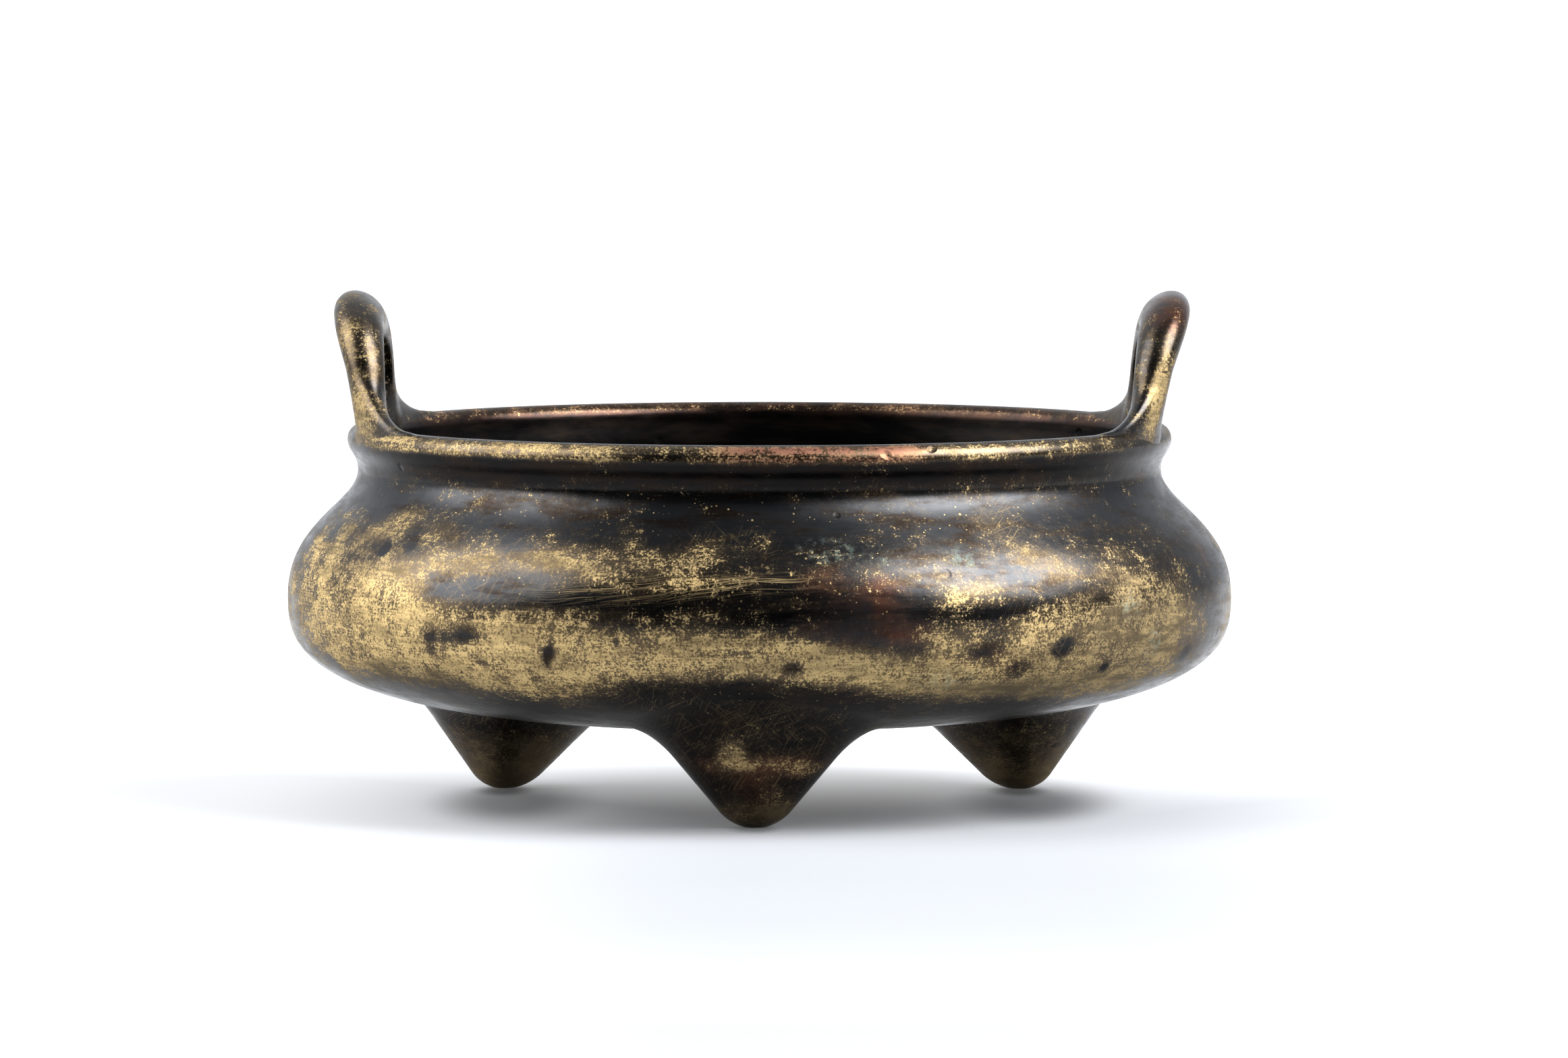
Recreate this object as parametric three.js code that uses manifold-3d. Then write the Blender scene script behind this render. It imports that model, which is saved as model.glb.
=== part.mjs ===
// A round-bellied bronze incense burner on three pointed feet, with two upright loop handles.
// Millimetres, +Z up, origin on the floor under the middle of the bowl. The handles stand at -X and +X
// and one foot points to -Y. The bowl, handles and feet are separate castings: the handles stand on the
// lip with round tenons in blind sockets, and each hollow foot is seated over a boss under the bowl.
import * as THREE from "three";
import { mergeVertices } from "three/addons/utils/BufferGeometryUtils.js";
import Module from "manifold-3d";

// Fit between castings that are seated on each other
const seatGap = 0.3;

// Bowl, outside
const bellyRadius = 75;
const bellyHeight = 33; // height of the widest ring above the floor
const undersideHeight = 12.9; // lowest point of the bowl above the floor
const undersideFullness = 2.8; // superellipse power of the lower belly, 2 is an ellipse
const shoulderRise = 11.7; // how far the belly wall runs on upright before it turns in
const neckInset = 11.2; // how far the neck stands in from the belly's widest ring
const neckRadius = bellyRadius - neckInset;
const neckHeight = 53;
const neckDrop = 5.4; // how far the neck runs down upright before it swells to the shoulder

// Lip
const lipOverhang = 1.65; // how far the lip stands out past the neck
const lipRadius = neckRadius + lipOverhang;
const lipBulgeHeight = neckHeight + 4.9; // height of the lip's widest ring
const lipTop = lipBulgeHeight + 2.3;
const lipWidth = 4.7;
const lipRoundness = 2.4; // superellipse power that the handles' feet follow over the lip
const lipUndercut = 0.42; // fullness of the lip's four quarters, from the neck outside over the top
const lipShoulder = 0.6;
const lipCrown = 0.24;
const lipInnerCrown = 0.3;
const lipDivisions = 4; // straight facets in each quarter

// Bowl, inside
const neckWall = 3.4;
const bellyWall = 3.4;
const floorWall = 3.8;
const flatFloorRadius = 14;

// Handles
const handleRise = 21;
const handleTop = lipTop + handleRise;
const handleLegSpacing = 36; // between the middles of the two legs, at the lip
const handleSquareness = 2.6; // superellipse power of the arch
const handleTopWidth = 7.6; // across the loop, radially to the bowl
const handleTopDepth = 7.7; // up and down
const handleLegWidth = 5.7;
const handleLegDepth = 5.7;
const handleFootWidth = lipWidth + 0.4; // width of the spread foot, flush with the lip's sides
const handleCrownStart = 0.35; // share of the rise at which the legs begin to thicken into the top
const handleLeftLean = 0.125; // outward travel for each millimetre of height, just above the lip
const handleRightLean = 0.175;
const handleCurl = 0.003; // how much that travel grows for each millimetre of height
const handleFlareHeight = 9;
const handleOuterFlare = 13; // spread of the leg along the lip, away from the loop
const handleInnerFlare = 5; // and into the loop
const tenonRadius = 1;
const tenonLength = 3.2;

// Feet
const footInset = 27.2; // how far each foot's tip stands in from the belly's widest ring
const footCircleRadius = bellyRadius - footInset; // from the bowl's axis to each foot's tip
const footTipRadius = 7.4;
const footWornRadius = 1.6; // the small flat that the tip has worn to
const footHalfAngle = THREE.MathUtils.degToRad(40.5);
const footLean = 0.19; // how far the foot's axis runs inwards for each millimetre of height
const footBlend = 5; // height over which the cone flows into the belly
const footEdge = 0.12; // thickness left at the rim of the flare
const bossRadius = 7;
const bossDrop = 3.2; // how far the boss stands out below the bowl's wall
const footCoreRadius = 5.6;
const footCoreFloor = 5; // metal left under the hollow
const footCoreTipRadius = 2.5; // the hollow narrows downwards to this
const footCoreTipRise = 0.6; // and ends in a shallow dish this deep
const footCoreShoulder = 1.5; // length of the hollow's straight mouth below the boss

// Fineness of the facets
const bowlSegments = 60;
const handleRings = 30;
const handleRingCrowding = 0.77; // draws the rings towards the feet, 0 leaves them evenly spaced
const handleSides = 18;
const footSectors = 32;
const footRings = 12;
const footSeatRings = 4;
const footFirstRing = 1.4; // radius of the first ring above the worn flat, as a multiple of it
const pegSides = 16;
const bossSides = 32;

const wasm = await Module();
wasm.setup();

function solidFrom(geometry) {
  const bare = geometry.clone();
  for (const name of Object.keys(bare.attributes)) {
    if (name !== "position") bare.deleteAttribute(name);
  }
  const merged = mergeVertices(bare, 1e-4);
  return new wasm.Manifold(
    new wasm.Mesh({
      numProp: 3,
      vertProperties: merged.getAttribute("position").array,
      triVerts: new Uint32Array(merged.index.array),
    }),
  );
}

function geometryFrom(solid) {
  const mesh = solid.getMesh();
  const geometry = new THREE.BufferGeometry();
  geometry.setAttribute("position", new THREE.BufferAttribute(mesh.vertProperties, mesh.numProp));
  geometry.setIndex(new THREE.BufferAttribute(mesh.triVerts, 1));
  geometry.computeVertexNormals();
  return geometry;
}

// A lathe about +Z. The profile is [radius, height] points, and runs so that the metal is on its left.
function latheAboutZ(profile, segments) {
  const points = profile.map(([radius, height]) => new THREE.Vector2(radius, height));
  return new THREE.LatheGeometry(points, segments).rotateX(Math.PI / 2);
}

// A closed solid from rings of equal point counts, with a single point or a flat fan at each end.
function loftRings(rings) {
  const sides = rings[0].length;
  const positions = rings.flat().flatMap((p) => [p.x, p.y, p.z]);
  const indices = [];
  for (let ring = 0; ring + 1 < rings.length; ring++) {
    for (let side = 0; side < sides; side++) {
      const next = (side + 1) % sides;
      const a = ring * sides + side;
      const b = ring * sides + next;
      const c = a + sides;
      const d = b + sides;
      indices.push(a, b, d, a, d, c);
    }
  }
  const capEnd = (ring, flip) => {
    const middle = new THREE.Vector3();
    rings[ring].forEach((p) => middle.addScaledVector(p, 1 / sides));
    const centre = positions.length / 3;
    positions.push(middle.x, middle.y, middle.z);
    for (let side = 0; side < sides; side++) {
      const a = ring * sides + side;
      const b = ring * sides + ((side + 1) % sides);
      if (flip) indices.push(centre, b, a);
      else indices.push(centre, a, b);
    }
  };
  capEnd(0, true);
  capEnd(rings.length - 1, false);
  const geometry = new THREE.BufferGeometry();
  geometry.setAttribute("position", new THREE.Float32BufferAttribute(positions, 3));
  geometry.setIndex(indices);
  return geometry;
}

function bezierPoints(corners, divisions) {
  const curve = new THREE.CubicBezierCurve(...corners.map(([x, y]) => new THREE.Vector2(x, y)));
  return curve.getPoints(divisions).map((p) => [p.x, p.y]);
}

// Height of a superellipse bottom at a radius: the lower half of the belly, outside or inside.
function bellyUnderside(radius, widest, depth) {
  const share = Math.min(1, radius / widest) ** undersideFullness;
  return bellyHeight - depth * (1 - share) ** (1 / undersideFullness);
}

const undersideAt = (radius) =>
  bellyUnderside(radius, bellyRadius, bellyHeight - undersideHeight);

// Points up one side of the lower belly, close together where the wall turns up.
function lowerBelly(widest, depth, flatRadius, divisions) {
  const points = [[0, bellyHeight - depth]];
  for (let i = 1; i <= divisions; i++) {
    const turn = (i / divisions) * (Math.PI / 2);
    const radius = widest * Math.sin(turn) ** (2 / undersideFullness);
    const height = bellyHeight - depth * Math.cos(turn) ** (2 / undersideFullness);
    if (radius > flatRadius) points.push([radius, height]);
  }
  return points;
}

// The lip's section from the neck outside, over the top, to the neck inside. A clearance swells it.
function lipOutline(clearance) {
  const outer = lipRadius + clearance;
  const inner = lipRadius - lipWidth - clearance;
  const top = lipTop + clearance;
  const neckOuter = neckRadius + clearance;
  const neckInner = neckRadius - neckWall - clearance;
  const crest = (outer + inner) / 2;
  const underBulge = lipBulgeHeight - neckHeight;
  const overBulge = top - lipBulgeHeight;
  return [
    ...bezierPoints([[neckOuter, neckHeight], [neckOuter, neckHeight + underBulge / 2],
      [outer, lipBulgeHeight - underBulge * lipUndercut], [outer, lipBulgeHeight]], lipDivisions),
    ...bezierPoints([[outer, lipBulgeHeight], [outer, lipBulgeHeight + overBulge * lipShoulder],
      [crest + lipWidth * lipCrown, top], [crest, top]], lipDivisions).slice(1),
    ...bezierPoints([[crest, top], [crest - lipWidth * lipInnerCrown, top],
      [inner, lipBulgeHeight + overBulge / 2], [inner, lipBulgeHeight]], lipDivisions).slice(1),
    [neckInner, neckHeight],
  ];
}

function bowlSolid() {
  const innerBelly = bellyRadius - bellyWall;
  const innerNeck = neckRadius - neckWall;
  const innerDepth = bellyHeight - undersideHeight - floorWall;
  const outside = [
    ...lowerBelly(bellyRadius, bellyHeight - undersideHeight, 0, 11),
    ...bezierPoints([[bellyRadius, bellyHeight], [bellyRadius, bellyHeight + shoulderRise],
      [neckRadius, neckHeight - neckDrop], [neckRadius, neckHeight]], 9).slice(1),
  ];
  const inside = [
    ...bezierPoints([[innerNeck, neckHeight], [innerNeck, neckHeight - neckDrop],
      [innerBelly, bellyHeight + shoulderRise - bellyWall / 3], [innerBelly, bellyHeight]], 7).slice(1),
    ...lowerBelly(innerBelly, innerDepth, flatFloorRadius, 9).reverse().slice(1, -1),
    [flatFloorRadius, bellyHeight - innerDepth],
    [0, bellyHeight - innerDepth],
  ];
  const profile = [...outside, ...lipOutline(0).slice(1), ...inside];
  const shell = solidFrom(latheAboutZ(profile, bowlSegments));
  const bosses = footTurns.map((turn) => bossSolid(turn));
  const sockets = handleTurns.flatMap((turn) =>
    legSides.map((side) => pegSolid(turn, side, tenonRadius + seatGap, tenonLength + seatGap, seatGap)),
  );
  const withBosses = bosses.reduce((made, boss) => made.add(boss), shell);
  return sockets.reduce((made, socket) => made.subtract(socket), withBosses);
}

// Feet stand at these turns about +Z, and handles at the others. A turn of 0 points to +X.
const footTurns = [-90, 30, 150].map(THREE.MathUtils.degToRad);
const handleTurns = [0, 180].map(THREE.MathUtils.degToRad);
const legSides = [-1, 1];

// The height of the plain cone and its round worn tip, at a distance from the foot's own axis.
function footConeHeight(distance) {
  const tangentDistance = footTipRadius * Math.cos(footHalfAngle);
  const wear = footTipRadius - Math.sqrt(footTipRadius ** 2 - footWornRadius ** 2);
  if (distance < footWornRadius) return 0;
  if (distance < tangentDistance) {
    return footTipRadius - Math.sqrt(footTipRadius ** 2 - distance ** 2) - wear;
  }
  const tangentHeight = footTipRadius * (1 - Math.sin(footHalfAngle));
  return tangentHeight + (distance - tangentDistance) / Math.tan(footHalfAngle) - wear;
}

function smoothLower(a, b, reach) {
  const overlap = Math.max(reach - Math.abs(a - b), 0) / reach;
  return Math.min(a, b) - (overlap * overlap * reach) / 4;
}

// A point of the foot's skin, at a distance and bearing about its axis, with the foot pointing to +X.
function footSkin(distance, bearing) {
  const cone = footConeHeight(distance);
  const lean = footLean * Math.min(cone, bellyHeight);
  const x = footCircleRadius + distance * Math.cos(bearing) - lean;
  const y = distance * Math.sin(bearing);
  const under = undersideAt(Math.hypot(x, y));
  return { x, y, under, height: smoothLower(under, cone, footBlend) };
}

// How far the flare runs on a bearing before it is only footEdge thick.
function flareReach(bearing) {
  let near = footTipRadius;
  let far = bellyRadius - footCircleRadius;
  for (let i = 0; i < 40; i++) {
    const middle = (near + far) / 2;
    const skin = footSkin(middle, bearing);
    if (skin.under - skin.height > seatGap + footEdge) near = middle;
    else far = middle;
  }
  return near;
}

// Where a foot's axis passes through a height, with the foot pointing to +X.
const footAxisAt = (height) => footCircleRadius - footLean * height;

const bossMiddle = () => footAxisAt(undersideAt(footCircleRadius - footLean * undersideHeight));
const bossBottom = () => undersideAt(bossMiddle()) - bossDrop;

function bossSolid(turn) {
  const top = undersideAt(bossMiddle() + bossRadius);
  const height = top - bossBottom();
  return solidFrom(
    new THREE.CylinderGeometry(bossRadius, bossRadius, height, bossSides)
      .rotateX(Math.PI / 2)
      .translate(bossMiddle(), 0, bossBottom() + height / 2)
      .rotateZ(turn),
  );
}

function footSolid(turn) {
  const bearings = Array.from({ length: footSectors }, (_, i) => (i / footSectors) * 2 * Math.PI);
  const reaches = bearings.map(flareReach);
  const skinRing = (share) =>
    bearings.map((bearing, i) => {
      const skin = footSkin(share * reaches[i], bearing);
      return new THREE.Vector3(skin.x, skin.y, skin.height);
    });
  const seatRing = (share) =>
    bearings.map((bearing, i) => {
      const skin = footSkin(share * reaches[i], bearing);
      return new THREE.Vector3(skin.x, skin.y, skin.under - seatGap);
    });
  const firstShare = (footFirstRing * footWornRadius) / Math.max(...reaches);
  const wornRing = bearings.map(
    (bearing) =>
      new THREE.Vector3(
        footCircleRadius + footWornRadius * Math.cos(bearing),
        footWornRadius * Math.sin(bearing),
        0,
      ),
  );
  const rings = [wornRing];
  for (let i = 1; i <= footRings; i++) {
    rings.push(skinRing(THREE.MathUtils.lerp(firstShare, 1, i / footRings)));
  }
  for (let i = footSeatRings; i >= 1; i--) rings.push(seatRing(i / footSeatRings));
  const skin = solidFrom(loftRings(rings).rotateZ(turn));
  return skin.subtract(footHollow(turn));
}

// The socket over the bowl's boss, and the core's hollow below it.
function footHollow(turn) {
  const socketFloor = bossBottom() - seatGap;
  const socketRadius = bossRadius + seatGap;
  const profile = [
    [0, footCoreFloor],
    [footCoreTipRadius, footCoreFloor + footCoreTipRise],
    [footCoreRadius, socketFloor - footCoreShoulder],
    [footCoreRadius, socketFloor],
    [socketRadius, socketFloor],
    [socketRadius, bellyHeight],
    [0, bellyHeight],
  ];
  return solidFrom(latheAboutZ(profile, bossSides).translate(bossMiddle(), 0, 0).rotateZ(turn));
}

// A round peg that stands down from the lip's crest under one leg of the handle at a turn.
function pegSolid(turn, side, radius, depth, rise) {
  const height = depth + rise + lipWidth / 4;
  const [x, y] = legMiddle(side);
  return solidFrom(
    new THREE.CylinderGeometry(radius, radius, height, pegSides)
      .rotateX(Math.PI / 2)
      .translate(x, y, lipTop - depth + height / 2)
      .rotateZ(turn),
  );
}

// The middle of the lip under a leg of the handle that stands at +X.
function legMiddle(side) {
  const y = (side * handleLegSpacing) / 2;
  return [Math.sqrt((lipRadius - lipWidth / 2) ** 2 - y * y), y];
}

// Outward place of the handle's middle surface at a height above the lip.
const handlePlane = (rise, lean) => legMiddle(1)[0] + lean * rise + handleCurl * rise * rise;

// How far the lip's rounded back lies below its crest, at a distance across the lip from the crest.
function lipFall(across) {
  const share = Math.min(1, Math.abs(across) / (lipWidth / 2));
  return (lipTop - lipBulgeHeight) * (1 - (1 - share ** lipRoundness) ** (1 / lipRoundness));
}

// How far the foot of a leg has spread along the lip, from 0 at the top of the flare to 1 at the lip.
function flareShare(rise) {
  const down = 1 - Math.min(1, Math.max(0, rise / handleFlareHeight));
  return 1 - Math.sqrt(1 - down * down);
}

// One section of the loop. t runs from 0 at one leg's foot to 1 at the other's.
function handleSection(t) {
  const turn = t * Math.PI;
  const rise = handleTop - handleTopDepth / 2 - lipTop;
  const power = 2 / handleSquareness;
  const side = Math.cos(turn) < 0 ? -1 : 1;
  const along = side * Math.abs(Math.cos(turn)) ** power * (handleLegSpacing / 2);
  const up = Math.sin(turn) ** power * rise;
  return { along, up };
}

function handleRing(t, sink, lean) {
  const step = 1e-3;
  const here = handleSection(t);
  const before = handleSection(Math.max(0, t - step));
  const after = handleSection(Math.min(1, t + step));
  const tangent = new THREE.Vector2(after.along - before.along, after.up - before.up).normalize();
  if (t <= step || t >= 1 - step) tangent.set(0, t < 0.5 ? 1 : -1);
  const outward = new THREE.Vector2(tangent.y, -tangent.x);
  const up = here.up - sink;
  const fullRise = handleTop - handleTopDepth / 2 - lipTop;
  const crown = THREE.MathUtils.smoothstep(here.up / fullRise, handleCrownStart, 1);
  const base = THREE.MathUtils.smoothstep(-here.up / handleFlareHeight, -1, 0);
  const flare = flareShare(up);
  const legWidth = THREE.MathUtils.lerp(handleLegWidth, handleFootWidth, base);
  const halfWidth = THREE.MathUtils.lerp(legWidth, handleTopWidth, crown) / 2 - sink / lipWidth;
  const halfDepth = THREE.MathUtils.lerp(handleLegDepth, handleTopDepth, crown) / 2;
  const [legX] = legMiddle(1);
  const lipMiddle = lipRadius - lipWidth / 2;
  const ring = [];
  for (let i = 0; i < handleSides; i++) {
    const angle = (i / handleSides) * 2 * Math.PI;
    const across = Math.cos(angle) * halfWidth;
    const towards = Math.sin(angle);
    const spread = towards > 0 ? handleOuterFlare * flare : handleInnerFlare * flare;
    const reach = towards * (halfDepth + spread);
    const along = here.along + outward.x * reach;
    const height = up + outward.y * reach;
    const aroundLip = Math.sqrt(lipMiddle ** 2 - along * along) - legX;
    const follow = 1 - Math.min(1, Math.max(0, up / handleFlareHeight));
    ring.push(new THREE.Vector3(
      handlePlane(Math.max(0, height), lean) + across + aroundLip * follow,
      along,
      lipTop + height - lipFall(across) * follow,
    ));
  }
  return ring;
}

function handleSolid(turn, lean) {
  const footDip = lipTop - lipBulgeHeight;
  const rings = [handleRing(0, footDip, lean)];
  for (let i = 0; i <= handleRings; i++) {
    const even = i / handleRings;
    const crowding = (handleRingCrowding * Math.sin(even * 2 * Math.PI)) / (2 * Math.PI);
    rings.push(handleRing(even - crowding, 0, lean));
  }
  rings.push(handleRing(1, footDip, lean));
  const loop = solidFrom(loftRings(rings));
  const seat = solidFrom(latheAboutZ(
    [...lipOutline(seatGap), [neckRadius + seatGap, neckHeight]],
    bowlSegments,
  ));
  const seated = loop.subtract(seat).rotate([0, 0, THREE.MathUtils.radToDeg(turn)]);
  const tenons = legSides.map((side) => pegSolid(turn, side, tenonRadius, tenonLength, seatGap));
  return tenons.reduce((made, tenon) => made.add(tenon), seated);
}

// Finishes: the same leaded bronze, rubbed brighter on the lip, handles and tips than inside.
const bowlBronze = new THREE.MeshStandardMaterial({ color: 0x4a3d28, metalness: 1, roughness: 0.42 });
const handleBronze = new THREE.MeshStandardMaterial({ color: 0x57462c, metalness: 1, roughness: 0.38 });
const footBronze = new THREE.MeshStandardMaterial({ color: 0x33291c, metalness: 1, roughness: 0.48 });

function addPiece(group, name, solid, material) {
  const mesh = new THREE.Mesh(geometryFrom(solid), material);
  mesh.name = name;
  group.add(mesh);
}

const burner = new THREE.Group();
addPiece(burner, "bowl", bowlSolid(), bowlBronze);
[["handle_right", handleRightLean], ["handle_left", handleLeftLean]].forEach(([name, lean], i) =>
  addPiece(burner, name, handleSolid(handleTurns[i], lean), handleBronze),
);
["foot_front", "foot_rear_right", "foot_rear_left"].forEach((name, i) =>
  addPiece(burner, name, footSolid(footTurns[i]), footBronze),
);

export default burner;
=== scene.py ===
import math
import bpy
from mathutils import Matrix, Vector


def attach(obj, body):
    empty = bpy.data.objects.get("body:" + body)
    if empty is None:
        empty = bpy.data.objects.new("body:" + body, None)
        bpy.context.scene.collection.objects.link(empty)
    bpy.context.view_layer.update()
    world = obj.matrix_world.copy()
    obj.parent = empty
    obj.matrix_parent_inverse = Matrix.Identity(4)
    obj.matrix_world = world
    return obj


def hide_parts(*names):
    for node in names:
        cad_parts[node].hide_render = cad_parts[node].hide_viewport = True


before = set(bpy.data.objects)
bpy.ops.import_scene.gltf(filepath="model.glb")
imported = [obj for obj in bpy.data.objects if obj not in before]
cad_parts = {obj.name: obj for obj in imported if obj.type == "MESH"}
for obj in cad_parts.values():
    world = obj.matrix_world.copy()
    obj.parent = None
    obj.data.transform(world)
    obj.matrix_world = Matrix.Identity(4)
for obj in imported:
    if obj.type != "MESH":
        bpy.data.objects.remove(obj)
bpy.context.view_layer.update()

print("Frame loaded")

mm = 0.001


def srgbToLinear(hexColour):
    parts = [int(hexColour[i:i + 2], 16) / 255 for i in (0, 2, 4)]
    linear = [p / 12.92 if p <= 0.04045 else ((p + 0.055) / 1.055) ** 2.4 for p in parts]
    return (*linear, 1.0)


def smoothStep(value, low, high):
    share = min(1.0, max(0.0, (value - low) / (high - low)))
    return share * share * (3 - 2 * share)


def bezier(corners, share):
    rest = 1 - share
    weights = (rest ** 3, 3 * rest ** 2 * share, 3 * rest * share ** 2, share ** 3)
    return tuple(sum(w * corner[i] for w, corner in zip(weights, corners)) for i in (0, 1))


def wrappedGrid(name, ringCount, sideCount, pointAt):
    # A grid rolled into a tube: one side runs along the piece and the other around it
    bpy.ops.object.select_all(action="DESELECT")
    bpy.ops.mesh.primitive_grid_add(x_subdivisions=sideCount, y_subdivisions=ringCount - 1, size=2)
    piece = bpy.context.object
    piece.name = name
    piece.data.name = name
    for vertex in piece.data.vertices:
        side = round((vertex.co.x + 1) / 2 * sideCount)
        ring = round((vertex.co.y + 1) / 2 * (ringCount - 1))
        vertex.co = Vector(pointAt(ring, (side % sideCount) / sideCount * 2 * math.pi)) * mm
    weldReach = 0.002 * mm
    bpy.ops.object.mode_set(mode="EDIT")
    bpy.ops.mesh.select_all(action="SELECT")
    bpy.ops.mesh.remove_doubles(threshold=weldReach)
    bpy.ops.mesh.select_all(action="DESELECT")
    bpy.ops.mesh.select_mode(type="EDGE")
    bpy.ops.mesh.select_non_manifold()
    bpy.ops.mesh.fill_holes(sides=0)
    bpy.ops.mesh.select_all(action="SELECT")
    bpy.ops.mesh.normals_make_consistent(inside=False)
    bpy.ops.object.mode_set(mode="OBJECT")
    bpy.ops.object.shade_smooth()
    return piece


# Bowl: sizes in millimetres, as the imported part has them
bowlValues = {
    "bellyRadius": 75.0,
    "bellyHeight": 33.0,
    "undersideHeight": 12.9,
    "undersideFullness": 2.8,
    "shoulderRise": 11.7,
    "neckRadius": 63.8,
    "neckHeight": 53.0,
    "neckDrop": 5.4,
    "neckWall": 3.4,
    "bellyWall": 3.4,
    "floorWall": 3.8,
    "lipRadius": 65.45,
    "lipBulgeHeight": 57.9,
    "lipTop": 60.2,
    "lipWidth": 4.7,
    "lipRoundness": 2.4,
    "innerNeckRound": 2.0,
    "rounds": 440,
}

# How far the curves keep their direction, as shares of the neck's rise, the lip's rise or its width
reachValues = {
    "neckUp": 0.5,
    "bulgeDown": 0.42,
    "bulgeUp": 0.6,
    "crestOut": 0.24,
    "crestIn": 0.3,
    "innerUp": 0.5,
    "innerShoulder": 1 / 3,
}

# Steps along the profile, from the middle up the outside and down the inside
stepValues = {
    "underside": 60,
    "shoulder": 36,
    "neck": 12,
    "lipOutside": 10,
    "lipInside": 10,
    "innerNeck": 6,
    "innerShoulder": 16,
    "innerFloor": 24,
}


def undersideAt(radius):
    v = bowlValues
    share = min(1.0, radius / v["bellyRadius"]) ** v["undersideFullness"]
    depth = v["bellyHeight"] - v["undersideHeight"]
    return v["bellyHeight"] - depth * (1 - share) ** (1 / v["undersideFullness"])


def lowerBelly(widest, depth, steps):
    v = bowlValues
    power = 2 / v["undersideFullness"]
    points = []
    for i in range(steps + 1):
        turn = i / steps * math.pi / 2
        radius = widest * abs(math.sin(turn)) ** power
        height = v["bellyHeight"] - depth * abs(math.cos(turn)) ** power
        points.append((radius, height))
    return points


def bowlProfile():
    v, reach, steps = bowlValues, reachValues, stepValues
    innerBelly = v["bellyRadius"] - v["bellyWall"]
    innerDepth = v["bellyHeight"] - v["undersideHeight"] - v["floorWall"]
    lipWidth = v["lipWidth"]
    innerLip = v["lipRadius"] - lipWidth
    underBulge = v["lipBulgeHeight"] - v["neckHeight"]
    overBulge = v["lipTop"] - v["lipBulgeHeight"]
    belly = (v["bellyRadius"], v["bellyHeight"])
    neck = (v["neckRadius"], v["neckHeight"])
    bulge = (v["lipRadius"], v["lipBulgeHeight"])
    crest = ((v["lipRadius"] + innerLip) / 2, v["lipTop"])
    lipInner = (innerLip, v["lipBulgeHeight"])
    neckInside = (v["neckRadius"] - v["neckWall"], v["neckHeight"])
    bellyInside = (innerBelly, v["bellyHeight"])
    innerRise = v["shoulderRise"] - v["bellyWall"] * reach["innerShoulder"]
    # Each stretch: its start, how far it runs straight on, how far back from its end, and its end
    stretches = [
        ("shoulder", belly, (0, v["shoulderRise"]), (0, -v["neckDrop"]), neck),
        ("neck", neck, (0, underBulge * reach["neckUp"]), (0, -underBulge * reach["bulgeDown"]), bulge),
        ("lipOutside", bulge, (0, overBulge * reach["bulgeUp"]), (lipWidth * reach["crestOut"], 0), crest),
        ("lipInside", crest, (-lipWidth * reach["crestIn"], 0), (0, overBulge * reach["innerUp"]), lipInner),
        ("innerNeck", lipInner, (0, -v["innerNeckRound"]), (0, v["innerNeckRound"]), neckInside),
        ("innerShoulder", neckInside, (0, -v["neckDrop"]), (0, innerRise), bellyInside),
    ]
    points = lowerBelly(v["bellyRadius"], v["bellyHeight"] - v["undersideHeight"], steps["underside"])
    for name, start, leaving, arriving, end in stretches:
        corners = (start, (start[0] + leaving[0], start[1] + leaving[1]),
                   (end[0] + arriving[0], end[1] + arriving[1]), end)
        points += [bezier(corners, i / steps[name]) for i in range(1, steps[name] + 1)]
    points += lowerBelly(innerBelly, innerDepth, steps["innerFloor"])[::-1][1:]
    return points


def makeBowl():
    profile = bowlProfile()

    def pointAt(ring, turn):
        radius, height = profile[ring]
        return (radius * math.cos(turn), radius * math.sin(turn), height)

    return wrappedGrid("castBowl", len(profile), bowlValues["rounds"], pointAt)


# Handles: sizes in millimetres. The first and last rings are tucked into the lip, so that no gap shows
handleValues = {
    "top": 81.2,
    "legSpacing": 36.0,
    "squareness": 2.6,
    "topWidth": 7.6,
    "topDepth": 7.7,
    "legWidth": 5.7,
    "legDepth": 5.7,
    "footWidth": 4.9,
    "leftLean": 0.125,
    "rightLean": 0.175,
    "curl": 0.003,
    "crownFrom": 0.35,
    "flareHeight": 9.0,
    "outerFlare": 13.0,
    "innerFlare": 5.0,
    "tuck": 0.13,
    "tuckReach": 0.8,
    "tuckDip": 0.9,
    "tuckSharpness": 4,
    "tuckRings": 2,
    "sink": 1.6,
    "sinkTaper": 0.25,
    "crowding": 1.3,
    "rings": 120,
    "sides": 56,
}


def legMiddle():
    v = bowlValues
    y = handleValues["legSpacing"] / 2
    return math.sqrt((v["lipRadius"] - v["lipWidth"] / 2) ** 2 - y * y)


def handlePlane(rise, lean):
    return legMiddle() + lean * rise + handleValues["curl"] * rise * rise


def lipFall(across):
    v = bowlValues
    share = min(1.0, abs(across) / (v["lipWidth"] / 2))
    power = v["lipRoundness"]
    return (v["lipTop"] - v["lipBulgeHeight"]) * (1 - (1 - share ** power) ** (1 / power))


def handleRise():
    return handleValues["top"] - handleValues["topDepth"] / 2 - bowlValues["lipTop"]


def handleMiddle(share):
    h = handleValues
    turn = share * math.pi
    power = 2 / h["squareness"]
    cosine = math.cos(turn)
    along = math.copysign(abs(cosine) ** power, cosine) * h["legSpacing"] / 2
    return along, abs(math.sin(turn)) ** power * handleRise()


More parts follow.
